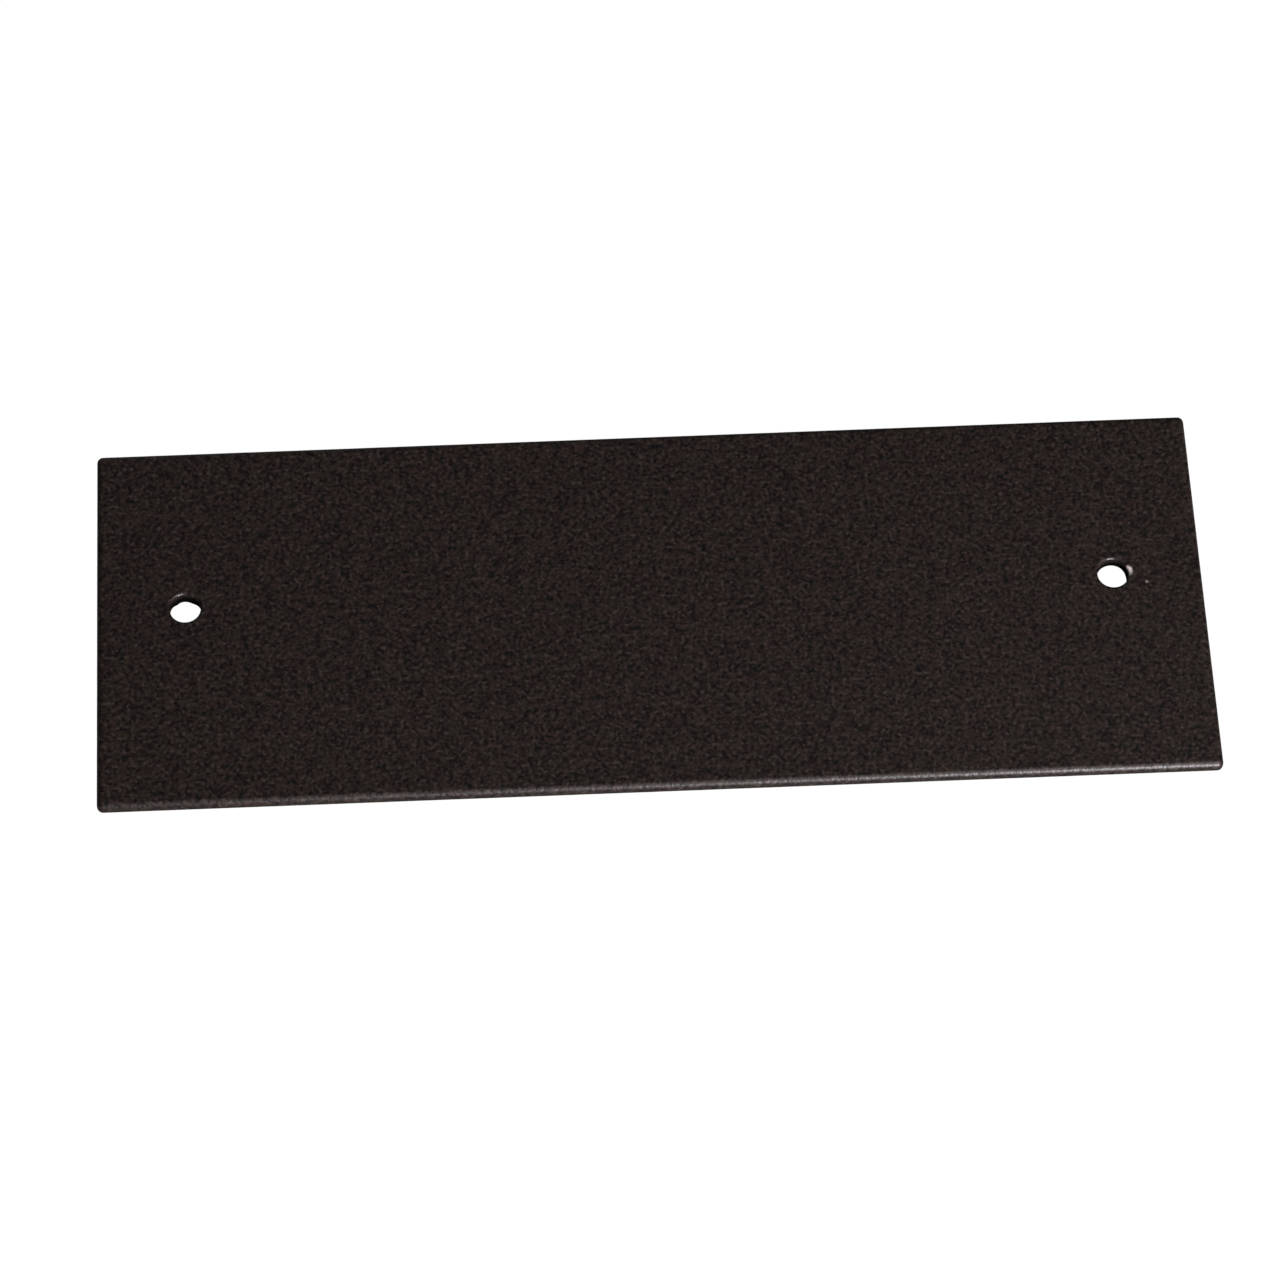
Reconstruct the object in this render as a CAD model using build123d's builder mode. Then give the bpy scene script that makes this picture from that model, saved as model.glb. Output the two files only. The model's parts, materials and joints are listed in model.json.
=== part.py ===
"""Kick plate: one flat steel plate with two screw holes and eased edges, powder coated.

The plate lies on its back face. X runs along its length, Y across it towards the edge that the
holes are nearer to, and Z out of the show face. The origin is the centre of the back face.
"""

from build123d import *
import os

# Driving dimensions, in millimetres
plate_length = 250.0  # along X
plate_height = 90.0  # along Y, the height of the plate once it stands against a door or gate
plate_thickness = 3.5  # along Z, 10 gauge steel with its coating

corner_radius = 1.45  # the four corners of the outline
edge_rounding = 1.4  # the long and the short edges, on the show face and on the back

hole_diameter = 7.0  # clears an M6 screw through the coating
hole_end_distance = 20.0  # hole centre to the nearer short edge
hole_row_offset = 4.5  # the row of holes lies this far above the middle of the plate
hole_rim_rounding = 0.6  # the rims of the holes, on both faces

hole_spacing = plate_length - 2 * hole_end_distance

with BuildPart() as kick_plate:
    with BuildSketch():
        Rectangle(plate_length, plate_height)
        fillet(vertices(), radius=corner_radius)
    extrude(amount=plate_thickness)

    # Ease the whole outline on the back face and on the show face
    back_and_show_faces = faces().filter_by(Axis.Z)
    fillet(back_and_show_faces.edges(), radius=edge_rounding)

    # Two plain through holes on one row
    with Locations((0, hole_row_offset, plate_thickness)):
        with GridLocations(hole_spacing, 0, 2, 1):
            Hole(radius=hole_diameter / 2)

    hole_rims = edges().filter_by(GeomType.CIRCLE).filter_by(
        lambda rim: abs(rim.radius - hole_diameter / 2) < 0.001
    )
    fillet(hole_rims, radius=hole_rim_rounding)

kick_plate.part.label = "kick_plate"

os.makedirs("parts", exist_ok=True)
export_step(kick_plate.part, "parts/kick_plate.step")
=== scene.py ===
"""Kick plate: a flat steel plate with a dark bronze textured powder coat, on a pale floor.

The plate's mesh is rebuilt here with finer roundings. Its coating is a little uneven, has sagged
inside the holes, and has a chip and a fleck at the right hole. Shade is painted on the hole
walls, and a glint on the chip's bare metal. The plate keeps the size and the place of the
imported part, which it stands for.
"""

import json
import math

import bmesh
import bpy
from mathutils import Euler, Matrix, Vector, noise


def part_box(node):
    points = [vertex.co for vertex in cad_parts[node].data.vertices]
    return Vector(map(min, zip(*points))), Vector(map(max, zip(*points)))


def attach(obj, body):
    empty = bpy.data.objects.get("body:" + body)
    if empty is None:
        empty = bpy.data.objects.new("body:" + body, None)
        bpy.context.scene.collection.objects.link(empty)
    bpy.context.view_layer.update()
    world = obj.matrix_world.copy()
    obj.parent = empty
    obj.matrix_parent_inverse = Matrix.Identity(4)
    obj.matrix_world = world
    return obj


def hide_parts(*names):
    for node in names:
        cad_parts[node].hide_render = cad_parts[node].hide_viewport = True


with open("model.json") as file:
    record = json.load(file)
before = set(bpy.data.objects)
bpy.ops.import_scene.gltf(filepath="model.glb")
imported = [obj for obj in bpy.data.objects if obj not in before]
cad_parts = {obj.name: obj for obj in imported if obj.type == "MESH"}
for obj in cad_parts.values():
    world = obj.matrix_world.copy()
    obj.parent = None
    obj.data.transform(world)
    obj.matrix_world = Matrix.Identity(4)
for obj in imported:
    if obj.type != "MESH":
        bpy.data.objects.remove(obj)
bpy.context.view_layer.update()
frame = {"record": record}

MM = 0.001

# The plate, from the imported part
screw_holes = frame["record"]["mounts"][0]
plate_low, plate_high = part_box("kick_plate")
hole_radius = screw_holes["dims"]["hole_r_mm"] * MM
hole_spacing = screw_holes["dims"]["spacing_x_mm"] * MM
hole_row = screw_holes["pos_m"][1]
hole_centres = [Vector((side * hole_spacing / 2, hole_row)) for side in (-1, 1)]
EDGE_ROUNDING = 1.4 * MM
RIM_ROUNDING = 0.6 * MM

# The plate's mesh
HAIR = 0.001 * MM  # places nearer together than this count as the same
CELL = 1.0 * MM  # one cell of the grid on the flat faces
HOLE_CELL = 0.5 * MM  # the same, in line with a hole
PATCH = 8.0 * MM  # half the side of the square of rings round each hole
PATCH_RINGS = 12
RING_CROWDING = 1.5  # above 1, the rings crowd towards the hole
ROUNDING_STEPS = 9
WALL_STEPS = 4
CORNER_STEPS = 9

# The coating's waves, in layers that are each finer and lower than the last
PEEL_HEIGHT = 0.012 * MM
PEEL_SCALE = 260
PEEL_LAYERS = 3
PEEL_FADE = 1.0  # each layer is this power of the step lower
PEEL_STEP = 2.0  # each layer is this much finer

# The coating's bead, a little way in from every edge
BEAD_HEIGHT = 0.015 * MM
BEAD_PLACE = 0.9 * MM
BEAD_WIDTH = 0.6124 * MM

# The coating is most worn halfway round an edge, where a normal's largest part is this
HALF_ROUND = 0.7

# Where the coating has sagged inside the holes: hole, direction, half width and height
SAGS = (
    (0, 128, 18, 0.35 * MM),
    (0, 92, 30, 0.30 * MM),
    (0, 58, 24, 0.38 * MM),
    (1, 8, 38, 0.30 * MM),
)
SAG_DEPTHS = (1.2 * MM, 2.4 * MM)  # where the sags begin and where they are full
BORE_SHADE_DEPTHS = (RIM_ROUNDING, 2.6 * RIM_ROUNDING)  # where painted shade on the hole walls begins, and where it is darkest

# The chip in the coating at the right hole's rim. Its reach is 0 at its middle and 1 at its
# nominal outline.
CHIP_ANGLE = 7
CHIP_PLACE = 0.25 * RIM_ROUNDING  # out from the hole's wall
CHIP_LENGTH = 1.25 * MM
CHIP_WIDTH = 0.85 * MM
CHIP_DEPTH = 0.05 * MM
CHIP_BARE_AND_GLINT = (0.4, 1.2)  # reaches where the metal is wholly bare with a painted glint, and where it is wholly coated
CHIP_LIP = 0.06 * MM
CHIP_LIP_REACH = 1.2
CHIP_LIP_WIDTH = 0.3
CHIP_RAGGEDNESS = 0.25
CHIP_RAGGED_SCALE = 2200
CHIP_FLOOR = 1.2 * RIM_ROUNDING  # the chip ends this far below the show face
CHIP_END = 2  # the reach where its lip ends

# The fleck beside the chip
FLECK_PLACE = Vector((7.4, -2.6)) * MM  # from the right hole's centre
FLECK_EDGES = (0.144 * MM, 0.504 * MM)  # where it begins to fade, and where it has faded

# The powder coat's noises, in features per metre, and what keeps them from lining up
GRAIN_SCALE = 1060
SAND_SCALE = 2130
SPECK_SCALE = 1130
MOTTLE_SCALE = 230
SAND_SHIFT = (0.41, 0.23, 0.07)
SPECK_SHIFT = (0.29, 0.37, 0.13)
SAND_SHARE = 0.18  # of the colour's grit, and the rest is grain
SAND_HEIGHT = 0.3  # beside the grain's height
GRAIN_DEPTH = 0.065 * MM

# Where each noise starts to show and where it shows wholly, and how much it then shows
GRIT_WINDOW = (0.34, 0.66)
MOTTLE_WINDOW, MOTTLE_SHARE = (0.42, 0.60), 0.5
SPECK_WINDOW, SPECK_SHARE = (0.56, 0.82), 0.52
WORN_WINDOW, WORN_SHARE = (0.5, 1.1), 0.4

# How dull and how metallic the surface is
GRAIN_WINDOW, GRAIN_ROUGHNESS = (0.3, 0.7), (0.44, 0.47)
WORN_GLOSS = 0.12
BORE_DULLNESS = 0.55
# With the near-black bore colour, this metal paints shade over the walls' reflections as well
BORE_SHADE_METAL = 0.9
BARE_METAL = 0.1

# The powder coat's colours
BROWN_PIT, BROWN_GRAIN = (0.0004, 0.0003, 0.0002), (0.0235, 0.0160, 0.0124)
REDDISH_PIT, REDDISH_GRAIN = (0.0007, 0.0002, 0.0001), (0.0275, 0.0130, 0.0110)
SPECK_COLOUR = (0.070, 0.052, 0.045)
WORN_COLOUR = (0.032, 0.023, 0.020)
# Painted shade: a near-black colour laid over the coat on the hole walls, deepest down
BORE_SHADE_COLOUR, BORE_SHADE_SHARE = (0.006, 0.005, 0.004), 0.95
FLECK_COLOUR = (0.22, 0.19, 0.18)
# The chip's bare metal, painted a near-white pink that stands for a glint
BARE_GLINT_COLOUR = (0.90, 0.80, 0.79)

# The Mix node's sockets for colours
MIX_SHARE, MIX_FIRST, MIX_SECOND, MIX_RESULT = 0, 6, 7, 2

# The studio
FLOOR_RADIUS = 3
FLOOR_GAP = 0.02 * MM  # between the floor and the plate
FLOOR_TONES = (0.19, 0.21)
FLOOR_CLOUDS = 6  # per metre
FLOOR_SEEN_TONE = 0.02  # what its own white glow is added to, where the camera sees it
FILL_STRENGTH = 0.03
BACKDROP_STRENGTH = 1.0
SOFTBOXES = (  # name, place, size, power and colour
    ("key_softbox", (0.60, -0.55, 1.15), (0.6, 0.6), 7.9, (1, 0.94, 0.90)),
    ("front_softbox", (0.49, -1.18, 0.36), (0.3, 0.9), 31, (1, 0.96, 0.99)),
    ("back_softbox", (-0.45, 1.15, 0.45), (0.8, 0.5), 0.7, (1, 1, 1)),
    ("top_softbox", (0.60, 0.05, 1.05), (0.6, 0.6), 0.4, (1, 0.96, 0.94)),
)

# Camera: from the front and well above, turned a little about its own axis
CAMERA_AZIMUTH = 0.62
CAMERA_ELEVATION = 62.2
CAMERA_ROLL = -1.62
CAMERA_DISTANCE = 1103.3 * MM
CAMERA_LENS = 137.45
CAMERA_SENSOR = 36
CAMERA_SHIFT = 0.1187
CAMERA_TARGET = Vector((-36.86, -4.80, 0)) * MM
CAMERA_NEAREST, CAMERA_FARTHEST = 0.05, 20


# ---- Shaping ----


def ramp(value, low, high):
    """0 below low, 1 above high, and smooth between them."""
    share = max(0, min(1, (value - low) / (high - low)))
    return share * share * (3 - 2 * share)


def hump(value, middle, width):
    """1 at the middle, and smoothly down to nearly 0 at two widths from it."""
    return math.exp(-(((value - middle) / width) ** 2))


# ---- The plate's mesh ----


def spread(start, end, step):
    """Evenly spaced values from start up to, but not including, end."""
    count = max(1, round((end - start) / step))
    return [start + (end - start) * i / count for i in range(count)]


def strip(bm, upper, lower):
    """Joins two closed loops of vertices. Where a vertex repeats, the face is a triangle."""
    for i in range(len(upper)):
        j = (i + 1) % len(upper)
        bm.faces.new(dict.fromkeys([upper[i], upper[j], lower[j], lower[i]]))


def grid_lines():
    """The X and Y places of the grid's lines, with lines along each side of the hole patches."""
    x_stops = [plate_low.x + EDGE_ROUNDING]
    for centre in hole_centres:
        x_stops += [centre.x - PATCH, centre.x + PATCH]
    x_stops.append(plate_high.x - EDGE_ROUNDING)
    y_stops = [plate_low.y + EDGE_ROUNDING, hole_row - PATCH, hole_row + PATCH]
    y_stops.append(plate_high.y - EDGE_ROUNDING)
    lines = []
    for stops in (x_stops, y_stops):
        places = []
        for number, (start, end) in enumerate(zip(stops, stops[1:])):
            places += spread(start, end, HOLE_CELL if number % 2 else CELL)
        lines.append(places + [stops[-1]])
    return lines


def patch_distance(x, y):
    """How far a place is outside the nearest hole's square patch: negative inside it."""
    return min(max(abs(x - c.x), abs(y - c.y)) for c in hole_centres) - PATCH


def flat_face(bm, z, x_lines, y_lines):
    """One flat face: a grid, and rings round each hole. Returns its outline and its rims."""
    grid = {}
    for i, x in enumerate(x_lines):
        for j, y in enumerate(y_lines):
            if patch_distance(x, y) > -HAIR:
                grid[i, j] = bm.verts.new((x, y, z))
    columns, rows = len(x_lines) - 1, len(y_lines) - 1
    for i in range(columns):
        for j in range(rows):
            middle_x = (x_lines[i] + x_lines[i + 1]) / 2
            middle_y = (y_lines[j] + y_lines[j + 1]) / 2
            if patch_distance(middle_x, middle_y) > 0:
                keys = ((i, j), (i + 1, j), (i + 1, j + 1), (i, j + 1))
                bm.faces.new([grid[key] for key in keys])

    rims = []
    for centre in hole_centres:
        loop = []
        for vertex in grid.values():
            away = vertex.co.xy - centre
            if abs(max(abs(away.x), abs(away.y)) - PATCH) < HAIR:
                loop.append(vertex)
        loop.sort(key=lambda vertex: math.atan2(vertex.co.y - centre.y, vertex.co.x - centre.x))
        starts = [vertex.co.xy for vertex in loop]
        outward = [(start - centre).normalized() for start in starts]
        for ring in range(1, PATCH_RINGS + 1):
            share = 1 - (1 - ring / PATCH_RINGS) ** RING_CROWDING
            inner = []
            for start, direction in zip(starts, outward):
                place = start.lerp(centre + direction * (hole_radius + RIM_ROUNDING), share)
                inner.append(bm.verts.new((place.x, place.y, z)))
            strip(bm, loop, inner)
            loop = inner
        rims.append((loop, [-direction for direction in outward]))

    corners = ((0, 0), (columns, 0), (columns, rows), (0, rows))
    outline, directions = [], []
    for number, (start, end) in enumerate(zip(corners, corners[1:] + corners[:1])):
        turn = math.pi / 2 * (number - 2)
        for step in range(CORNER_STEPS + 1):
            angle = turn + math.pi / 2 * step / CORNER_STEPS
            outline.append(grid[start])
            directions.append(Vector((math.cos(angle), math.sin(angle))))
        count = abs(end[0] - start[0]) + abs(end[1] - start[1])
        side = ((end[0] - start[0]) // count, (end[1] - start[1]) // count)
        for i in range(1, count):
            outline.append(grid[start[0] + side[0] * i, start[1] + side[1] * i])
            directions.append(directions[-1])
    return (outline, directions), rims


def roll_over(bm, upper, lower, directions, radius):
    """Joins a loop of the upper face to the same loop of the lower face, round the edge."""
    top, bottom = plate_high.z, plate_low.z
    rounding = []
    for step in range(1, ROUNDING_STEPS + 1):
        angle = math.pi / 2 * step / ROUNDING_STEPS
        rounding.append((radius * math.sin(angle), radius * (1 - math.cos(angle))))
    wall = top - bottom - 2 * radius
    places = [(out, top - drop) for out, drop in rounding]
    places += [(radius, top - radius - wall * i / WALL_STEPS) for i in range(1, WALL_STEPS)]
    places += [(out, bottom + drop) for out, drop in reversed(rounding)]
    loop = upper
    for out, z in places:
        next_loop = []
        for start, direction in zip(upper, directions):
            place = start.co.xy + direction * out
            next_loop.append(bm.verts.new((place.x, place.y, z)))
        strip(bm, loop, next_loop)
        loop = next_loop
    strip(bm, loop, lower)


def nearest_hole(place):
    """The number of the hole nearest to a place, and the way from its centre to the place."""
    number = 0 if place.x < 0 else 1
    return number, place.xy - hole_centres[number]


def edge_distance(place):
    """How far a place on the plate is from the nearest edge or hole."""
    to_sides = min(plate_high.x - abs(place.x), plate_high.y - abs(place.y))
    _, away = nearest_hole(place)
    return max(0, min(to_sides, away.length - hole_radius))


def sag(place):
    """How far the coating on a hole's wall hangs into the hole, as a move."""
    number, away = nearest_hole(place)
    if away.length > hole_radius + RIM_ROUNDING:
        return Vector((0, 0, 0))
    turn = math.degrees(math.atan2(away.y, away.x))
    height = 0
    for hole, direction, half_width, most in SAGS:
        if hole == number:
            height += most * hump(turn, direction, half_width)
    hang = -away.normalized() * height * ramp(plate_high.z - place.z, *SAG_DEPTHS)
    return hang.to_3d()


def chip_reach(place):
    """How far a place is from the chip's middle: 1 at the chip's nominal outline."""
    angle = math.radians(CHIP_ANGLE)
    out = Vector((math.cos(angle), math.sin(angle)))
    away = place.xy - hole_centres[1] - out * (hole_radius + CHIP_PLACE)
    along = away.dot(out.orthogonal()) / CHIP_LENGTH
    across = away.dot(out) / CHIP_WIDTH
    ragged = CHIP_RAGGEDNESS * noise.noise(place * CHIP_RAGGED_SCALE)
    return math.hypot(along, across) + ragged


def coat(bm):
    """Moves the surface out and in by the coating's waves, bead and sags, and by its chip.

    Three layers on the vertices tell the material how much each place is worn (the middles of
    the roundings), bare at the chip, where a glint is painted, and deep in a bore, where shade
    is painted.
    """
    wear = bm.verts.layers.float.new("wear")
    bare = bm.verts.layers.float.new("bare")
    bore = bm.verts.layers.float.new("bore")
    bm.normal_update()
    for vertex in bm.verts:
        normal = vertex.normal.copy()
        depth = plate_high.z - vertex.co.z
        largest = max(abs(part) for part in normal)
        vertex[wear] = (1 - largest) / (1 - HALF_ROUND)
        # Painted shade on the hole walls, growing with depth
        _, away = nearest_hole(vertex.co)
        if away.length < hole_radius + RIM_ROUNDING:
            vertex[bore] = ramp(depth, *BORE_SHADE_DEPTHS)
        waves = noise.fractal(vertex.co * PEEL_SCALE, PEEL_FADE, PEEL_STEP, PEEL_LAYERS)
        lift = PEEL_HEIGHT * waves
        lift += BEAD_HEIGHT * hump(edge_distance(vertex.co), BEAD_PLACE, BEAD_WIDTH)
        reach = chip_reach(vertex.co)
        if depth < CHIP_FLOOR and reach < CHIP_END:
            # Bare metal at the chip, which the material also paints with a glint
            vertex[bare] = 1 - ramp(reach, *CHIP_BARE_AND_GLINT)
            lift += CHIP_LIP * hump(reach, CHIP_LIP_REACH, CHIP_LIP_WIDTH)
            lift -= CHIP_DEPTH * vertex[bare]
        vertex.co += normal * lift + sag(vertex.co)


def build_plate():
    """The plate as one closed mesh."""
    bm = bmesh.new()
    x_lines, y_lines = grid_lines()
    (upper, directions), upper_rims = flat_face(bm, plate_high.z, x_lines, y_lines)
    (lower, _), lower_rims = flat_face(bm, plate_low.z, x_lines, y_lines)
    roll_over(bm, upper, lower, directions, EDGE_ROUNDING)
    for (upper_rim, inward), (lower_rim, _) in zip(upper_rims, lower_rims):
        roll_over(bm, upper_rim, lower_rim, inward, RIM_ROUNDING)
    bmesh.ops.recalc_face_normals(bm, faces=bm.faces)
    coat(bm)
    for face in bm.faces:
        face.smooth = True
    data = bpy.data.meshes.new("plate")
    bm.to_mesh(data)
    bm.free()
    plate = bpy.data.objects.new("plate", data)
    bpy.context.scene.collection.objects.link(plate)
    return plate


# ---- Materials ----


class Nodes:
    """Adds nodes to a material and sets or links their sockets."""

    def __init__(self, tree):
        self.tree = tree

    def add(self, kind, sockets=None, **settings):
        made = self.tree.nodes.new(kind)
        for name, value in settings.items():
            setattr(made, name, value)
        for name, value in (sockets or {}).items():
            self.put(made.inputs[name], value)
        return made

    def put(self, socket, value):
        if isinstance(value, bpy.types.NodeSocket):
            self.tree.links.new(value, socket)
        else:
            socket.default_value = value

    def attribute(self, name):
        return self.add("ShaderNodeAttribute", attribute_name=name).outputs["Fac"]

    def noise(self, place, scale, detail, shift=None):
        """Noise at a place. A shift keeps it from lining up with other noise of a like scale."""
        if shift:
            moved = self.add("ShaderNodeVectorMath", {0: place, 1: shift}, operation="ADD")
            place = moved.outputs["Vector"]
        sockets = {"Vector": place, "Scale": scale, "Detail": detail}
        return self.add("ShaderNodeTexNoise", sockets).outputs["Fac"]

    def window(self, value, low, high, out_low=0.0, out_high=1.0):
        """Maps low..high onto out_low..out_high, and holds it there outside."""
        sockets = {
            "Value": value,
            "From Min": low,
            "From Max": high,
            "To Min": out_low,
            "To Max": out_high,
        }
        return self.add("ShaderNodeMapRange", sockets).outputs["Result"]

    def mix(self, share, first, second):
        """Goes from the first colour to the second as the share goes from 0 to 1."""
        made = self.add("ShaderNodeMix", {MIX_SHARE: share}, data_type="RGBA")
        for socket, colour in ((MIX_FIRST, first), (MIX_SECOND, second)):
            plain = isinstance(colour, tuple)
            self.put(made.inputs[socket], (*colour, 1) if plain else colour)
        return made.outputs[MIX_RESULT]

    def sum(self, first, second):
        return self.add("ShaderNodeMath", {0: first, 1: second}, operation="ADD").outputs[0]

    def less(self, first, second):
        return self.add("ShaderNodeMath", {0: first, 1: second}, operation="SUBTRACT").outputs[0]

    def times(self, value, factor):
        made = self.add("ShaderNodeMath", {0: value, 1: factor}, operation="MULTIPLY")
        return made.outputs[0]


def new_material(name):
    material = bpy.data.materials.new(name)
    material.use_nodes = True
    tree = material.node_tree
    return material, Nodes(tree), tree.nodes["Principled BSDF"]


def coat_colour(nodes, place, grain, sand):
    """Brown and reddish grit, with lighter specks in it."""
    mixed = nodes.sum(nodes.times(grain, 1 - SAND_SHARE), nodes.times(sand, SAND_SHARE))
    grit = nodes.window(mixed, *GRIT_WINDOW)
    brown = nodes.mix(grit, BROWN_PIT, BROWN_GRAIN)
    reddish = nodes.mix(grit, REDDISH_PIT, REDDISH_GRAIN)
    mottle = nodes.noise(place, MOTTLE_SCALE, 2)
    gritty = nodes.mix(nodes.window(mottle, *MOTTLE_WINDOW, 0, MOTTLE_SHARE), brown, reddish)
    specks = nodes.noise(place, SPECK_SCALE, 0, SPECK_SHIFT)
    speckled = nodes.window(specks, *SPECK_WINDOW, 0, SPECK_SHARE)
    return nodes.mix(speckled, gritty, SPECK_COLOUR)


def fleck_share(nodes, place):
    """1 in the middle of the fleck beside the chip, and 0 outside it."""
    middle = hole_centres[1] + FLECK_PLACE
    sockets = {0: place, 1: (middle.x, middle.y, plate_high.z)}
    away = nodes.add("ShaderNodeVectorMath", sockets, operation="DISTANCE").outputs["Value"]
    return nodes.window(away, *FLECK_EDGES, 1, 0)


def powder_coat():
    """Dark bronze powder coat with a sandy grain, light specks, worn edges, painted shade deep
    in the bores, and a bare chip painted with a glint.
    """
    material, nodes, shader = new_material("bronze_powder_coat")
    place = nodes.add("ShaderNodeTexCoord").outputs["Object"]
    grain = nodes.noise(place, GRAIN_SCALE, 1)
    sand = nodes.noise(place, SAND_SCALE, 0, SAND_SHIFT)
    wear, bare, bore = (nodes.attribute(name) for name in ("wear", "bare", "bore"))

    # Rubbed roundings, painted shade in the bores, the fleck and the bare chip with its painted
    # glint lie over the coat's own colour
    uneven = nodes.sum(wear, nodes.less(grain, 0.5))
    rubbed = nodes.window(uneven, *WORN_WINDOW, 0, WORN_SHARE)
    colour = nodes.mix(rubbed, coat_colour(nodes, place, grain, sand), WORN_COLOUR)
    colour = nodes.mix(nodes.times(bore, BORE_SHADE_SHARE), colour, BORE_SHADE_COLOUR)
    colour = nodes.mix(fleck_share(nodes, place), colour, FLECK_COLOUR)
    # The chip's bare metal with its painted glint
    nodes.put(shader.inputs["Base Color"], nodes.mix(bare, colour, BARE_GLINT_COLOUR))

    # Grains are duller than the pits between them, worn places glossier, and bores dullest
    dull = nodes.window(grain, *GRAIN_WINDOW, *GRAIN_ROUGHNESS)
    dull = nodes.less(dull, nodes.times(wear, WORN_GLOSS))
    dull = nodes.sum(dull, nodes.times(bore, BORE_DULLNESS))
    nodes.put(shader.inputs["Roughness"], dull)
    # In the bores, metal with the near-black colour paints shade over the reflections too
    metal = nodes.sum(nodes.times(bare, BARE_METAL), nodes.times(bore, BORE_SHADE_METAL))
    nodes.put(shader.inputs["Metallic"], metal)

    height = nodes.sum(nodes.times(sand, SAND_HEIGHT), grain)
    sockets = {"Height": height, "Strength": 1.0, "Distance": GRAIN_DEPTH}
    bump = nodes.add("ShaderNodeBump", sockets)
    nodes.put(shader.inputs["Normal"], bump.outputs["Normal"])
    return material


def pale_floor():
    """A pale studio table, burnt out to an even white where the camera sees it."""
    material, nodes, shader = new_material("pale_floor")
    place = nodes.add("ShaderNodeTexCoord").outputs["Object"]
    cloud = nodes.window(nodes.noise(place, FLOOR_CLOUDS, 2), 0.3, 0.7)
    darker, lighter = ((tone, tone, tone) for tone in FLOOR_TONES)
    clouded = nodes.mix(cloud, darker, lighter)
    seen = nodes.add("ShaderNodeLightPath").outputs["Is Camera Ray"]
    nodes.put(shader.inputs["Base Color"], nodes.mix(seen, clouded, (FLOOR_SEEN_TONE,) * 3))
    nodes.put(shader.inputs["Emission Color"], (1, 1, 1, 1))
    nodes.put(shader.inputs["Emission Strength"], seen)
    shader.inputs["Roughness"].default_value = 0.9
    shader.inputs["Specular IOR Level"].default_value = 0.0
    return material


# ---- The studio ----


def make_floor():
    bpy.ops.mesh.primitive_circle_add(vertices=96, radius=FLOOR_RADIUS, fill_type="NGON")
    floor = bpy.context.object
    floor.name = "floor"
    floor.location.z = plate_low.z - FLOOR_GAP
    floor.data.materials.append(pale_floor())


def make_softbox(name, place, size, power, colour):
    """A rectangular area light that looks at the plate's centre."""
    data = bpy.data.lights.new(name, "AREA")
    data.shape = "RECTANGLE"
    data.size, data.size_y = size
    data.energy = power
    data.color = colour
    light = bpy.data.objects.new(name, data)
    light.location = place
    light.rotation_euler = (-Vector(place)).to_track_quat("-Z", "Y").to_euler()
    bpy.context.scene.collection.objects.link(light)


def make_world():
    """White where the camera sees past the floor's edge, and a dim fill for everything else."""
    world = bpy.data.worlds.new("studio")
    world.use_nodes = True
    nodes = Nodes(world.node_tree)
    background = world.node_tree.nodes["Background"]
    background.inputs["Color"].default_value = (1, 1, 1, 1)
    seen = nodes.add("ShaderNodeLightPath").outputs["Is Camera Ray"]
    strength = nodes.window(seen, 0, 1, FILL_STRENGTH, BACKDROP_STRENGTH)
    nodes.put(background.inputs["Strength"], strength)
    bpy.context.scene.world = world


def make_camera():
    """The camera looks at its target, which is left of the middle, so the lens is shifted."""
    data = bpy.data.cameras.new("camera")
    data.lens = CAMERA_LENS
    data.sensor_width = CAMERA_SENSOR
    data.shift_x = CAMERA_SHIFT
    data.clip_start = CAMERA_NEAREST
    data.clip_end = CAMERA_FARTHEST
    camera = bpy.data.objects.new("camera", data)
    bpy.context.scene.collection.objects.link(camera)
    pitch = math.radians(90 - CAMERA_ELEVATION)
    aim = Euler((pitch, 0, math.radians(-CAMERA_AZIMUTH))).to_matrix()
    aim = aim @ Euler((0, 0, math.radians(CAMERA_ROLL))).to_matrix()
    camera.location = CAMERA_TARGET + aim @ Vector((0, 0, CAMERA_DISTANCE))
    camera.rotation_euler = aim.to_euler()
    bpy.context.scene.camera = camera


make_camera()
make_world()
make_floor()
for softbox in SOFTBOXES:
    make_softbox(*softbox)
bpy.context.scene.view_settings.view_transform = "Standard"

plate = build_plate()
plate.data.materials.append(powder_coat())
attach(plate, "root")
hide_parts("kick_plate")
